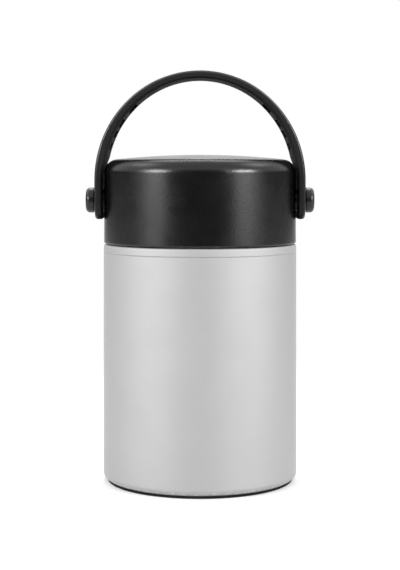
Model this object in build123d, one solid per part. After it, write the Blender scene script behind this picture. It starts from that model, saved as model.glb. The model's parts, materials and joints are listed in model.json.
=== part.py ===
from build123d import *
from math import cos, hypot, radians, sin
import os

# Insulated food jar: a double-walled vacuum jar with a screw lid and a strap handle that swings on two
# pivots at the lid's sides. Millimetres, +Z up, origin at the centre of the foot that the jar stands on.
# The handle's pivot axis runs along X, and the strap stands upright over the lid at rest.

# ---------------------------------------------------------------- driving dimensions

# jar body
body_radius = 48.0
shoulder_z = 116.9
base_corner = 3.0
shoulder_corner = 1.0
neck_corner = 0.8
neck_height = 12.5
shell_wall = 0.6
vessel_wall = 0.5
vacuum_gap = 2.9
neck_gap = 1.3
floor_gap = 6.0
vessel_floor_corner = 9.0
vessel_shoulder_corner = 3.0
vessel_neck_corner = 2.0
lip_roll = 0.2
groove_drop = 3.9
groove_width = 0.45
groove_depth = 0.3

# foot pad and vacuum base
pad_radius = 46.0
pad_height = 1.2
pad_ring_width = 15.0
pad_recess = 0.4
pad_edge = 0.35
base_opening_radius = 36.0
cap_rim_overlap = 5.0
cap_dish = 1.6
cap_slope = 1.6
seal_hole_radius = 1.2
seal_bead_radius = 2.8
seal_bead_height = 0.8
getter_radius = 4.0
getter_height = 1.7
getter_offset = 20.0
foil_thickness = 0.15
foil_height = 84.0
foil_start = 12.0

# lid
lid_setback = 0.2
lid_gap = 0.3
lid_height = 44.1
lid_crown = 2.9
lid_corner = 7.0
lid_foot_corner = 1.0
lid_wall = 2.4
lid_step = 1.0
skirt_wall = 1.9
skirt_setback = 1.0
thread_height = 0.95
thread_pitch = 4.4
thread_turns = 1.35
thread_root_width = 1.9
thread_crest_width = 0.9
thread_clearance = 0.4
liner_plate = 2.5
liner_edge = 0.4
plug_clearance = 0.9
plug_depth = 9.0
plug_wall = 1.6
plug_corner = 1.5
gasket_height = 1.8
gasket_groove = 0.9
foam_headroom = 0.5

# handle pivots, the same at both sides
pivot_height = 21.55
boss_radius = 5.2
boss_depth = 8.4
insert_radius = 3.2
insert_length = 6.0
boss_floor = 1.2
screw_shank_radius = 1.9
screw_shank_length = 5.0
screw_shoulder_radius = 2.6
screw_head_radius = 4.4
screw_head_height = 1.8
screw_socket_width = 2.5
screw_socket_depth = 1.0
bush_wall = 1.0
washer_radius = 6.0
washer_thickness = 0.4
pad_face_rise = 0.1
button_radius = 6.3
button_length = 5.1
button_corner = 2.2
button_face_crown = 0.45
button_step_length = 0.9
button_step_depth = 0.6

# strap handle
strap_gap = 0.6
strap_thickness = 3.4
strap_rise = 64.15
strap_tail = 9.35
strap_leg_width = 30.0
strap_top_width = 26.0
strap_arch_rise = 54.05
strap_tail_corner = 9.0
strap_edge = 0.5
rib_height = 1.0
rib_crown_height = 0.5
rib_setback = 1.2
rib_foot = 14.0
rib_full = 21.75
pocket_depth = 2.0
pockets = ((20.5, 2.9, 13.0), (28.3, 3.2, 16.0), (35.7, 3.6, 18.0), (46.8, 4.4, 20.0))

# clearances shared by every fit
seat_gap = 0.1
press_gap = 0.03
running_gap = 0.06
swing_gap = 0.2

# how far a cutting shape runs past the solid that it cuts
overshoot = 5.0

# ---------------------------------------------------------------- sizes that follow

base_z = pad_height
lip_z = shoulder_z + neck_height
vessel_radius = body_radius - shell_wall - vacuum_gap
vessel_floor_z = base_z + floor_gap
lid_radius = body_radius - lid_setback
lid_bottom_z = shoulder_z + lid_gap
lid_top_z = lid_bottom_z + lid_height
lid_bore = lid_radius - lid_wall
skirt_radius = lid_bore - seat_gap
skirt_bore = skirt_radius - skirt_wall
neck_radius = skirt_bore - 2 * thread_height - thread_clearance
vessel_neck_radius = neck_radius - shell_wall - neck_gap
mouth_radius = vessel_neck_radius - vessel_wall
vessel_shoulder_z = shoulder_z - shell_wall - vacuum_gap
plug_radius = mouth_radius - plug_clearance
liner_under_z = lip_z + gasket_height - gasket_groove
liner_top_z = liner_under_z + liner_plate
cover_upper_bore = lid_bore - lid_step
plug_floor_z = lip_z - plug_depth
pivot_z = lid_bottom_z + pivot_height
face_x = lid_radius + pad_face_rise
strap_inner_x = lid_radius + strap_gap
strap_outer_x = strap_inner_x + strap_thickness
strap_top_z = pivot_z + strap_rise
strap_end_z = pivot_z - strap_tail
arch_z = strap_top_z - strap_arch_rise
bush_radius = screw_shoulder_radius + running_gap + bush_wall
insert_inner_x = lid_bore - boss_depth + boss_floor
insert_outer_x = insert_inner_x + insert_length
head_x = strap_outer_x + swing_gap
button_x = strap_outer_x + swing_gap
both_sides = {"left": -1, "right": 1}

# ---------------------------------------------------------------- helpers


def solid_of(outline):
    """Turn an outline, drawn as radius and height, round the jar's own axis."""
    return revolve(Plane.XZ * outline, Axis.Z)


def rounded(corners):
    """Close a list of (radius, height, corner radius) into a face, rounding each corner that asks for it."""
    outline = make_face(Polyline(*[(r, z) for r, z, _ in corners], close=True))
    for r, z, corner in corners:
        if corner > 0:
            outline = fillet(outline.vertices().sort_by_distance((r, z))[0], corner)
    return outline


def turned(*corners):
    """Solid of revolution from (radius, height, corner radius) points."""
    return solid_of(rounded(corners))


def disc(radius, low, high):
    """Plain round slab between two heights."""
    return Pos(0, 0, low) * Cylinder(radius, high - low, align=(Align.CENTER, Align.CENTER, Align.MIN))


def ring(inner, outer, low, high):
    """Flat ring between two heights."""
    return disc(outer, low, high) - disc(inner, low - overshoot, high + overshoot)


def along_x(radius, start, end):
    """Round bar on the right-hand pivot axis, from one X to another."""
    bar = Cylinder(radius, end - start, align=(Align.CENTER, Align.CENTER, Align.MIN))
    return Pos(start, 0, pivot_z) * Rot(0, 90, 0) * bar


def tube_x(inner, outer, start, end):
    """Round sleeve on the right-hand pivot axis."""
    return along_x(outer, start, end) - along_x(inner, start - overshoot, end + overshoot)


def on_side(solid, side):
    """A piece made for the right-hand pivot, turned half round for the left."""
    return solid if side > 0 else Rot(0, 0, 180) * solid


def domed(radius, bottom, top, crown, corner, foot):
    """Round cap: straight side, rounded top edge and a shallow dome that falls by crown at the side."""
    side_top = top - crown
    dome = TangentArc((0, top), (radius, side_top), tangent=(1, 0))
    sides = Polyline((radius, side_top), (radius, bottom), (0, bottom), (0, top))
    outline = make_face(dome + sides)
    outline = fillet(outline.vertices().sort_by_distance((radius, side_top))[0], corner)
    if foot > 0:
        outline = fillet(outline.vertices().sort_by_distance((radius, bottom))[0], foot)
    return solid_of(outline)


def thread_ridge(root_radius, start_z, direction):
    """One helical ridge on a wall: direction 1 stands outwards from it and -1 inwards."""
    path = Helix(thread_pitch, thread_pitch * thread_turns, root_radius, center=(0, 0, start_z))
    across = Plane(origin=path @ 0, x_dir=(1, 0, 0), z_dir=path % 0)
    sunk = -direction * shell_wall / 2
    crest = direction * thread_height
    half_root = thread_root_width / 2
    half_crest = thread_crest_width / 2
    tooth = make_face(
        Polyline((sunk, -half_root), (sunk, half_root), (crest, half_crest), (crest, -half_crest), close=True)
    )
    return sweep(across * tooth, path=path, is_frenet=True)


# ---------------------------------------------------------------- jar body


def make_outer_shell():
    outside = turned(
        (0, base_z, 0),
        (body_radius, base_z, base_corner),
        (body_radius, shoulder_z, shoulder_corner),
        (neck_radius, shoulder_z, neck_corner),
        (neck_radius, lip_z - vessel_wall, 0),
        (0, lip_z - vessel_wall, 0),
    )
    inside = turned(
        (0, base_z + shell_wall, 0),
        (body_radius - shell_wall, base_z + shell_wall, base_corner - shell_wall),
        (body_radius - shell_wall, shoulder_z - shell_wall, shoulder_corner - shell_wall),
        (neck_radius - shell_wall, shoulder_z - shell_wall, neck_corner + shell_wall),
        (neck_radius - shell_wall, lip_z + overshoot, 0),
        (0, lip_z + overshoot, 0),
    )
    groove_z = shoulder_z - groove_drop
    groove = turned(
        (body_radius - groove_depth, groove_z, 0),
        (body_radius + groove_depth, groove_z - groove_width, 0),
        (body_radius + groove_depth, groove_z + groove_width, 0),
    )
    base_hole = disc(base_opening_radius, base_z - overshoot, base_z + overshoot)
    ridge_z = shoulder_z + neck_corner + thread_root_width
    ridge = thread_ridge(neck_radius, ridge_z, 1)
    return outside - inside - groove - base_hole + ridge


def make_inner_vessel():
    outside = turned(
        (0, vessel_floor_z, 0),
        (vessel_radius, vessel_floor_z, vessel_floor_corner),
        (vessel_radius, vessel_shoulder_z, vessel_shoulder_corner),
        (vessel_neck_radius, vessel_shoulder_z, vessel_neck_corner),
        (vessel_neck_radius, lip_z - vessel_wall, 0),
        (neck_radius, lip_z - vessel_wall, 0),
        (neck_radius, lip_z, lip_roll),
        (0, lip_z, 0),
    )
    inside = turned(
        (0, vessel_floor_z + vessel_wall, 0),
        (vessel_radius - vessel_wall, vessel_floor_z + vessel_wall, vessel_floor_corner - vessel_wall),
        (vessel_radius - vessel_wall, vessel_shoulder_z - vessel_wall, vessel_shoulder_corner - vessel_wall),
        (mouth_radius, vessel_shoulder_z - vessel_wall, vessel_neck_corner + vessel_wall),
        (mouth_radius, lip_z + overshoot, 0),
        (0, lip_z + overshoot, 0),
    )
    return outside - inside


def make_reflective_foil():
    low = vessel_floor_z + foil_start
    inner = vessel_radius + press_gap
    return ring(inner, inner + foil_thickness, low, low + foil_height)


def make_base_cap():
    rim_z = base_z + shell_wall
    dish_z = rim_z + cap_dish
    rim_radius = base_opening_radius + cap_rim_overlap
    slope_foot = base_opening_radius - shell_wall
    slope_head = slope_foot - cap_slope
    plate = turned(
        (0, dish_z, 0),
        (slope_head, dish_z, 0),
        (slope_foot, rim_z, 0),
        (rim_radius, rim_z, 0),
        (rim_radius, rim_z + shell_wall, 0),
        (slope_foot + shell_wall / 2, rim_z + shell_wall, 0),
        (slope_head + shell_wall / 2, dish_z + shell_wall, 0),
        (0, dish_z + shell_wall, 0),
    )
    return plate - disc(seal_hole_radius, rim_z - overshoot, dish_z + overshoot)


def make_vacuum_seal():
    top = base_z + shell_wall + cap_dish
    stem = disc(seal_hole_radius - press_gap, top - seal_bead_height / 2, top + shell_wall)
    bead = turned(
        (0, top - seal_bead_height, 0),
        (seal_bead_radius, top - seal_bead_height, seal_bead_height / 2),
        (seal_bead_radius, top, 0),
        (0, top, 0),
    )
    return bead + stem


def make_getter_capsule():
    seat = base_z + shell_wall + cap_dish + shell_wall
    pill = turned(
        (0, seat, 0),
        (getter_radius, seat, 0),
        (getter_radius, seat + getter_height, getter_height / 3),
        (0, seat + getter_height, 0),
    )
    return Pos(getter_offset, 0, 0) * pill


def make_foot_pad():
    inner = pad_radius - pad_ring_width
    return turned(
        (0, pad_recess, 0),
        (inner - pad_recess, pad_recess, 0),
        (inner, 0, 0),
        (pad_radius, 0, pad_edge),
        (pad_radius, pad_height, pad_edge),
        (0, pad_height, 0),
    )


# ---------------------------------------------------------------- lid


def make_lid_cover():
    cover = domed(lid_radius, lid_bottom_z, lid_top_z, lid_crown, lid_corner, lid_foot_corner)
    hollow = domed(
        cover_upper_bore,
        liner_top_z,
        lid_top_z - lid_wall,
        lid_crown,
        lid_corner - lid_wall,
        0,
    )
    mouth = disc(lid_bore, lid_bottom_z - overshoot, liner_top_z)
    cover = cover - hollow - mouth
    for side in both_sides.values():
        boss = along_x(boss_radius, lid_bore - boss_depth, lid_bore)
        face = along_x(washer_radius, lid_bore, face_x)
        bore = along_x(insert_radius + press_gap, insert_inner_x, face_x + overshoot)
        cover = cover + on_side(boss + face, side) - on_side(bore, side)
    return cover


def make_lid_liner():
    gasket_edge = neck_radius + seat_gap
    skirt_bottom = lid_bottom_z + skirt_setback
    liner = turned(
        (0, plug_floor_z, 0),
        (plug_radius, plug_floor_z, plug_corner),
        (plug_radius, liner_under_z + gasket_groove, 0),
        (gasket_edge, liner_under_z + gasket_groove, 0),
        (gasket_edge, liner_under_z, 0),
        (skirt_bore, liner_under_z, 0),
        (skirt_bore, skirt_bottom, liner_edge),
        (skirt_radius, skirt_bottom, liner_edge),
        (skirt_radius, liner_top_z, 0),
        (plug_radius - plug_wall, liner_top_z, 0),
        (plug_radius - plug_wall, plug_floor_z + plug_wall, 0),
        (0, plug_floor_z + plug_wall, 0),
    )
    ridge_z = shoulder_z + neck_corner + thread_root_width + thread_pitch / 2
    return liner + thread_ridge(skirt_bore, ridge_z, -1)


def make_lid_foam():
    radius = plug_radius - plug_wall - seat_gap
    inner_top = lid_top_z - lid_wall
    fall = lid_crown * (radius / cover_upper_bore) ** 2
    return disc(radius, plug_floor_z + plug_wall, inner_top - fall - foam_headroom)


def make_lid_gasket():
    return ring(plug_radius + seat_gap, neck_radius, lip_z, lip_z + gasket_height)


# ---------------------------------------------------------------- pivots


def make_pivot_insert():
    return tube_x(screw_shank_radius + running_gap, insert_radius, insert_inner_x, insert_outer_x)


def make_pivot_screw():
    shank = along_x(screw_shank_radius, insert_outer_x - screw_shank_length, insert_outer_x)
    shoulder = along_x(screw_shoulder_radius, insert_outer_x, head_x)
    head = along_x(screw_head_radius, head_x, head_x + screw_head_height)
    hexagon = RegularPolygon(screw_socket_width / 2, 6, major_radius=False)
    socket = Pos(head_x + screw_head_height, 0, pivot_z) * Rot(0, -90, 0) * extrude(hexagon, screw_socket_depth)
    return shank + shoulder + head - socket


def make_pivot_washer():
    return tube_x(screw_shoulder_radius + running_gap, washer_radius, face_x, face_x + washer_thickness)


def make_pivot_bush():
    return tube_x(screw_shoulder_radius + running_gap, bush_radius, strap_inner_x, strap_outer_x)


def make_pivot_button():
    """Cup over the screw's head: a narrow step beside the strap, then a rounded head with a crowned face."""
    end = button_length
    neck = button_radius - button_step_depth
    face = TangentArc((0, end), (button_radius, end - button_face_crown), tangent=(1, 0))
    sides = Polyline(
        (button_radius, end - button_face_crown),
        (button_radius, button_step_length),
        (neck, button_step_length),
        (neck, 0),
        (0, 0),
        (0, end),
    )
    outline = make_face(face + sides)
    rim = (button_radius, end - button_face_crown)
    outline = fillet(outline.vertices().sort_by_distance(rim)[0], button_corner)
    knob = solid_of(outline)
    recess = disc(screw_head_radius + press_gap, -overshoot, screw_head_height)
    return Pos(button_x, 0, pivot_z) * Rot(0, 90, 0) * (knob - recess)


# ---------------------------------------------------------------- strap handle


def arch_plate(inset, half_width, crown_inset=None):
    """Everything inside the strap's outline, set in by inset: straight legs under half an ellipse. The top of the
    arch can have an inset of its own."""
    half = strap_outer_x - inset
    rise = strap_arch_rise - (inset if crown_inset is None else crown_inset)
    foot = strap_end_z - inset
    crown = EllipticalCenterArc((0, arch_z), half, rise, start_angle=0, arc_size=180)
    legs = Polyline((-half, arch_z), (-half, foot), (half, foot), (half, arch_z))
    return extrude(Plane.XZ * make_face(crown + legs), half_width, both=True)


def side_silhouette(inset):
    """The strap seen from its side: parallel legs that narrow steadily towards the grip at the top."""
    leg = strap_leg_width / 2 - inset
    grip = strap_top_width / 2 - inset
    foot_z = strap_end_z + inset
    outline = make_face(
        Polyline(
            (-leg, foot_z),
            (leg, foot_z),
            (leg, arch_z),
            (grip, strap_top_z + overshoot),
            (-grip, strap_top_z + overshoot),
            (-leg, arch_z),
            close=True,
        )
    )
    for side in (-1, 1):
        tail = outline.vertices().sort_by_distance((side * leg, foot_z))[0]
        outline = fillet(tail, strap_tail_corner - inset)
        knee = outline.vertices().sort_by_distance((side * leg, arch_z))[0]
        outline = fillet(knee, strap_arch_rise)
    return extrude(Plane.YZ * outline, strap_outer_x + overshoot, both=True)


def under_rib():
    """The room under the rib's lower ends, which slope from nothing at the rib's foot to its full height."""
    full_x = strap_inner_x - rib_height
    past_x = strap_outer_x + overshoot
    slope = (rib_full - rib_foot) / rib_height
    past_z = pivot_z + rib_foot - slope * (past_x - strap_inner_x)
    full_z = pivot_z + rib_full
    outline = Polyline((-past_x, past_z), (-full_x, full_z), (full_x, full_z), (past_x, past_z), close=True)
    return extrude(Plane.XZ * make_face(outline), strap_leg_width, both=True)


def pocket(side, angle, length, width):
    """Core-out in the rib's inner face, sunk away from the arch's centre at an angle above its spring line."""
    half = strap_outer_x - strap_thickness - rib_height
    rise = strap_arch_rise - strap_thickness - rib_crown_height
    tilt = radians(angle)
    reach = 1 / hypot(cos(tilt) / half, sin(tilt) / rise)
    floor = reach + pocket_depth
    slot = extrude(SlotOverall(width, length), pocket_depth + overshoot)
    inward = Plane(origin=(0, 0, 0), x_dir=(0, 1, 0), z_dir=(-cos(tilt), 0, -sin(tilt)))
    place = Pos(floor * cos(tilt), 0, arch_z + floor * sin(tilt))
    cut = place * (inward * slot)
    return cut if side > 0 else mirror(cut, about=Plane.YZ)


def make_handle_strap():
    wide = strap_leg_width
    outer = arch_plate(0, wide)
    inner = arch_plate(strap_thickness, wide + overshoot)
    strap = (outer - inner) & side_silhouette(0)
    strap = fillet(strap.edges(), strap_edge)
    rib = arch_plate(strap_thickness - strap_edge, wide)
    rib = rib - arch_plate(strap_thickness + rib_height, wide + overshoot, strap_thickness + rib_crown_height)
    strap = strap + ((rib & side_silhouette(rib_setback)) - under_rib())
    for side in both_sides.values():
        for angle, length, width in pockets:
            strap = strap - pocket(side, angle, length, width)
        eye = along_x(bush_radius + press_gap, strap_inner_x - overshoot, strap_outer_x + overshoot)
        strap = strap - on_side(eye, side)
    return strap


# ---------------------------------------------------------------- all pieces

single_pieces = {
    "outer_shell": make_outer_shell,
    "inner_vessel": make_inner_vessel,
    "reflective_foil": make_reflective_foil,
    "base_cap": make_base_cap,
    "vacuum_seal": make_vacuum_seal,
    "getter_capsule": make_getter_capsule,
    "foot_pad": make_foot_pad,
    "lid_cover": make_lid_cover,
    "lid_liner": make_lid_liner,
    "lid_foam": make_lid_foam,
    "lid_gasket": make_lid_gasket,
    "handle_strap": make_handle_strap,
}

pivot_pieces = {
    "pivot_insert": make_pivot_insert,
    "pivot_screw": make_pivot_screw,
    "pivot_washer": make_pivot_washer,
    "pivot_bush": make_pivot_bush,
    "pivot_button": make_pivot_button,
}

parts = {name: make() for name, make in single_pieces.items()}
for name, make in pivot_pieces.items():
    for word, side in both_sides.items():
        parts[name + "_" + word] = on_side(make(), side)

os.makedirs("parts", exist_ok=True)
for name, solid in parts.items():
    export_step(solid, "parts/" + name + ".step")
    print(name, round(solid.volume, 1))
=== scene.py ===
# %% [markdown]
# # Insulated food jar
# A food jar keeps soup hot between two steel walls with a vacuum between them. This one has a wide mouth, a black
# moulded lid that screws onto the neck, and a strap handle that swings on a pivot at each side of the lid.
#
# The engineering model is already there as a fixed frame: its pieces, its sizes and its joints. Blender adds what the
# eye needs. The frame comes first, because every new surface takes its place and its size from it.

# %% Load the frame
import json

import bmesh
import bpy
import numpy as np
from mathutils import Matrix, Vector


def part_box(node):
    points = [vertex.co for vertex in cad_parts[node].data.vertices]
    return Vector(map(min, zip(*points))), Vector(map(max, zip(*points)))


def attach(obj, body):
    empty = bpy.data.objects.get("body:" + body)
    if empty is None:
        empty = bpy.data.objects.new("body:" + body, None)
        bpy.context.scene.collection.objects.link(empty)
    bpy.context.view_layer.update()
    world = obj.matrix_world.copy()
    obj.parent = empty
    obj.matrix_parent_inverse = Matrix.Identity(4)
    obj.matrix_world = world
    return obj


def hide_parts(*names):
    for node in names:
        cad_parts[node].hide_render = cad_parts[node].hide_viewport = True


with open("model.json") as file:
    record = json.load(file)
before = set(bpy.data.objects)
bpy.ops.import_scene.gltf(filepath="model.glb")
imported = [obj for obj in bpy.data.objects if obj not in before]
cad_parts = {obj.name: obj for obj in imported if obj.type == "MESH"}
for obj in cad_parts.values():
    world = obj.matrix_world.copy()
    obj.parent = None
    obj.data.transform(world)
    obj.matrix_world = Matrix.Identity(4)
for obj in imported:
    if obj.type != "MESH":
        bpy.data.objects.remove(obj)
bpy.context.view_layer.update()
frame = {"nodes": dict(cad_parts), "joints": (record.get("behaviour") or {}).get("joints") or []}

# %% [markdown]
# ## Sizes
# A size that the frame knows is read from it: a node's box gives its reach, and a joint gives its axis. What a box
# can't tell, such as how round a corner is or how thick a wall is, gets a name here. Everything is in metres, so a
# millimetre is a small number with a name of its own.

# %% Sizes of the jar
mm = 0.001

shell_low, shell_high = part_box("outer_shell")
vessel_low, vessel_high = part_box("inner_vessel")
_, pad_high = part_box("foot_pad")
gasket_low, gasket_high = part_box("lid_gasket")
cover_low, cover_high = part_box("lid_cover")

body_radius = shell_high.x
base_z = shell_low.z
neck_top = shell_high.z
neck_radius = gasket_high.x
lip_z = vessel_high.z
lid_gap = 0.3 * mm
shoulder_z = cover_low.z - lid_gap

shell_wall = 0.6 * mm
base_corner = 3.0 * mm
shoulder_corner = 1.0 * mm
neck_corner = 0.8 * mm
base_opening = 36.0 * mm
sheet_corner = 0.1 * mm
groove_z = shoulder_z - 3.9 * mm
groove_depth = 0.3 * mm
groove_reach = 0.22 * mm
groove_brow, groove_bed = 0.06 * mm, 0.05 * mm

vessel_radius = vessel_high.x
vessel_floor = vessel_low.z
vessel_wall = 0.5 * mm
neck_gap, vacuum_gap = 1.3 * mm, 2.9 * mm
vessel_neck = neck_radius - shell_wall - neck_gap
vessel_shoulder = shoulder_z - shell_wall - vacuum_gap
mouth_radius = vessel_neck - vessel_wall
print("body radius", body_radius, "shoulder", shoulder_z, "lip", lip_z)

# %% Sizes of the screw thread
thread_pitch = 4.4 * mm
thread_turns = 1.35
thread_height = 0.95 * mm
thread_root = 1.9 * mm
thread_crest = 0.9 * mm
thread_run_in = 0.05
neck_thread_start = shoulder_z + neck_corner + thread_root
lid_thread_start = neck_thread_start + thread_pitch / 2
print("threads start at", neck_thread_start, lid_thread_start)

# %% Sizes of the lid
liner_low, liner_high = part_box("lid_liner")
foam_low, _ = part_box("lid_foam")

lid_radius = cover_high.y
lid_bottom = cover_low.z
lid_top = cover_high.z
lid_wall = 2.4 * mm
lid_crown = 2.9 * mm
lid_corner = 7.0 * mm
lid_foot = 1.0 * mm
lid_ledge = 1.0 * mm
lid_bore = lid_radius - lid_wall
lid_upper_bore = lid_bore - lid_ledge

skirt_wall, liner_plate = 1.9 * mm, 2.5 * mm
skirt_radius = liner_high.x
skirt_bore = skirt_radius - skirt_wall
skirt_bottom = liner_low.z
liner_top = liner_high.z
liner_under = liner_top - liner_plate
plug_clearance, plug_wall = 0.9 * mm, 1.6 * mm
plug_radius = mouth_radius - plug_clearance
plug_floor = foam_low.z - plug_wall
print("lid radius", lid_radius, "top", lid_top)

# %% Sizes of the pivots and the strap
swing = next(joint for joint in frame["joints"] if joint["name"] == "handle_swing")
insert_low, insert_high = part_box("pivot_insert_right")
_, washer_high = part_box("pivot_washer_right")
_, screw_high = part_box("pivot_screw_right")
button_low, button_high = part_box("pivot_button_right")
bush_low, bush_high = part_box("pivot_bush_right")
strap_low, strap_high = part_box("handle_strap")

pivot_z = swing["pos_m"][2]
press_gap = 0.03 * mm
boss_radius, boss_floor = 5.2 * mm, 1.2 * mm
boss_end = insert_low.x - boss_floor
strap_reach = strap_high.x
strap_thickness = bush_high.x - bush_low.x
strap_half_width = strap_high.y
arch_rise = 54.05 * mm
arch_z = strap_high.z - arch_rise
leg_length = arch_z - strap_low.z
print("pivot height", pivot_z, "arch springs at", arch_z)

# %% [markdown]
# ## Turned surfaces
# Most of this object is round. A potter would shape it with a template held against the turning clay, and a Screw
# modifier does the same. Here the template is an array of radius and height, and the surface is worked out in one go
# with numpy, so that a thread or a groove can be added as a plain change of radius.
#
# The template's corners are what the eye reads as quality, because each one catches a line of light. So a corner is
# an arc with a support point beside each end, which keeps smooth shading from spilling onto the flat sides.

# %% Rounded templates
support = 0.12 * mm
corner_steps = 8
same_radius = 0.01 * mm


def corner_arc(before, corner, after, radius):
    """Points of an arc that touches both sides of a corner. With h the half angle between the sides, the arc touches
    them radius / tan(h) from the corner, and its middle is radius / sin(h) away on the line that halves the angle.
    A point turns from the first touch to the last one as sin((1 - k) t) a + sin(k t) b over sin(t)."""
    if radius == 0:
        return corner[None, :]
    u, v = before - corner, after - corner
    u, v = u / np.linalg.norm(u), v / np.linalg.norm(v)
    half = np.arccos(np.clip(u @ v, -1, 1)) / 2
    touch = radius / np.tan(half)
    middle = corner + (u + v) / np.linalg.norm(u + v) * radius / np.sin(half)
    a, b = corner + u * touch - middle, corner + v * touch - middle
    turn = np.pi - 2 * half
    k = np.linspace(0, 1, corner_steps + 1)[:, None]
    arc = middle + (np.sin((1 - k) * turn) * a + np.sin(k * turn) * b) / np.sin(turn)
    return np.vstack([corner + u * (touch + support), arc, corner + v * (touch + support)])


def template(*corners, closed=False):
    """Template points from (radius, height, corner radius) rows. A closed template ends where it starts."""
    rows = np.array(corners, float)
    before, after = np.roll(rows, 1, 0), np.roll(rows, -1, 0)
    arcs = [corner_arc(a[:2], b[:2], c[:2], b[2]) for a, b, c in zip(before, rows, after)]
    if closed:
        arcs.append(arcs[0][:1])
    else:
        arcs[0], arcs[-1] = rows[:1, :2], rows[-1:, :2]
    return np.vstack(arcs)


def divided(points, step, radius):
    """Put evenly spaced points, at most step apart, on the upright spans that stand at one radius."""
    spans = np.diff(points, axis=0)
    upright = np.abs(points[:-1, 0] - radius) + np.abs(spans[:, 0]) < same_radius
    parts = np.where(upright, np.maximum(np.ceil(np.abs(spans[:, 1]) / step), 1), 1).astype(int)
    first = np.repeat(np.arange(len(parts)), parts)
    share = (np.arange(parts.sum()) - np.repeat(np.cumsum(parts) - parts, parts)) / parts[first]
    return np.vstack([points[first] + share[:, None] * spans[first], points[-1]])


# %% Turn a template into a grid of points
around = 288


def turned(points, push=None):
    """Surface of revolution: x = r cos(angle), y = r sin(angle), z = height, with r = radius + push(angle, z, r)."""
    angle = np.linspace(0, 2 * np.pi, around + 1)[None, :]
    radius, height = points[:, :1], points[:, 1:]
    reach = radius + (push(angle, height, radius) if push else 0 * angle)
    return np.stack([reach * np.cos(angle), reach * np.sin(angle), height + 0 * angle], axis=-1)


def along_pivot(grid, side):
    """Lay a turned grid along the pivot axis: its height becomes the distance out to one side."""
    x, y, z = np.moveaxis(grid, -1, 0)
    return np.stack([side * z, y, pivot_z + x], axis=-1)


# %% Turn grids into one mesh object
merge_distance = 0.001 * mm


def skin(name, *grids):
    """One mesh object from grids of points. Each face joins a point to the next in its row and its column."""
    points, faces, count = [], [], 0
    for grid in grids:
        rows, columns = grid.shape[:2]
        number = count + np.arange(rows * columns).reshape(rows, columns)
        corners = [number[:-1, :-1], number[:-1, 1:], number[1:, 1:], number[1:, :-1]]
        faces.append(np.stack(corners, axis=-1).reshape(-1, 4))
        points.append(grid.reshape(-1, 3))
        count += rows * columns
    return mesh_object(name, np.vstack(points), np.vstack(faces))


def mesh_object(name, points, faces):
    """Fill a mesh from arrays, merge the points that meet at seams and poles, and turn its faces outwards."""
    mesh = bpy.data.meshes.new(name)
    mesh.vertices.add(len(points))
    mesh.vertices.foreach_set("co", points.astype(np.float32).ravel())
    mesh.loops.add(faces.size)
    mesh.loops.foreach_set("vertex_index", faces.astype(np.int32).ravel())
    mesh.polygons.add(len(faces))
    mesh.polygons.foreach_set("loop_start", np.arange(0, faces.size, 4, dtype=np.int32))
    mesh.update(calc_edges=True)
    form = bmesh.new()
    form.from_mesh(mesh)
    bmesh.ops.remove_doubles(form, verts=form.verts, dist=merge_distance)
    bmesh.ops.recalc_face_normals(form, faces=form.faces)
    open_edges = sum(not edge.is_manifold for edge in form.edges)
    volume = form.calc_volume(signed=True) / mm**3
    print(f"{name}: {len(form.faces)} faces, {open_edges} open edges, {volume:.0f} cubic mm")
    form.to_mesh(mesh)
    form.free()
    made = bpy.data.objects.new(name, mesh)
    bpy.context.scene.collection.objects.link(made)
    return made


def smooth(made, sharp_from):
    """Shade smoothly, except across edges that bend by more than an angle in degrees."""
    made.data.shade_smooth()
    made.data.set_sharp_from_angle(angle=np.radians(sharp_from))


def combine(made, tool, operation):
    """Join a tool's solid to a piece, or cut it away, then throw the tool out."""
    step = made.modifiers.new(operation.lower(), "BOOLEAN")
    step.object, step.operation, step.solver = tool, operation, "EXACT"
    drawn = made.evaluated_get(bpy.context.evaluated_depsgraph_get())
    result = bpy.data.meshes.new_from_object(drawn)
    made.modifiers.clear()
    old, made.data = made.data, result
    bpy.data.meshes.remove(old)
    bpy.data.objects.remove(tool)
    print(f"{made.name}: {operation.lower()} leaves {len(result.polygons)} faces")


# %% [markdown]
# ## Finishes that materials share
# Some effects come back in several materials, so each is a node group, built once and placed with its own values: the
# grain of a spark-eroded mould, the slow cloudiness of a large blasted surface, the fine rings that a lathe leaves,
# and a speckled band along an edge, which is wear on the steel's foot and a painted highlight on the lid's bottom
# edge.
# A group puts out a value that changes over the surface, and the material decides what to do with it.

# %% Node helpers


def add(tree, kind, feeds=None, **settings):
    """Add a node. A feed that is a socket is linked, and any other feed is set on the node's own socket."""
    node = tree.nodes.new(kind)
    for name, value in settings.items():
        setattr(node, name, value)
    for name, value in (feeds or {}).items():
        if isinstance(value, bpy.types.NodeSocket):
            tree.links.new(value, node.inputs[name])
        else:
            node.inputs[name].default_value = value
    return node


def math(tree, operation, *values):
    """One arithmetic step between numbers and sockets."""
    return add(tree, "ShaderNodeMath", dict(enumerate(values)), operation=operation).outputs[0]


def remap(tree, value, low, high, to_low=0.0, to_high=1.0):
    """Ease a value from one range into another, and hold it at the ends."""
    feeds = {0: value, 1: low, 2: high, 3: to_low, 4: to_high}
    return add(tree, "ShaderNodeMapRange", feeds, interpolation_type="SMOOTHSTEP").outputs[0]


def overlap(tree, *masks):
    """Mask that is 1 only where every mask is: their product."""
    shared = masks[0]
    for mask in masks[1:]:
        shared = math(tree, "MULTIPLY", shared, mask)
    return shared


def effect(name, inputs, output):
    """An empty shader group with named number inputs and one number output."""
    tree = bpy.data.node_groups.new(name, "ShaderNodeTree")
    for label, value in inputs.items():
        socket = tree.interface.new_socket(label, in_out="INPUT", socket_type="NodeSocketFloat")
        socket.default_value = value
    tree.interface.new_socket(output, in_out="OUTPUT", socket_type="NodeSocketFloat")
    return tree, tree.nodes.new("NodeGroupInput"), tree.nodes.new("NodeGroupOutput")


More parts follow.
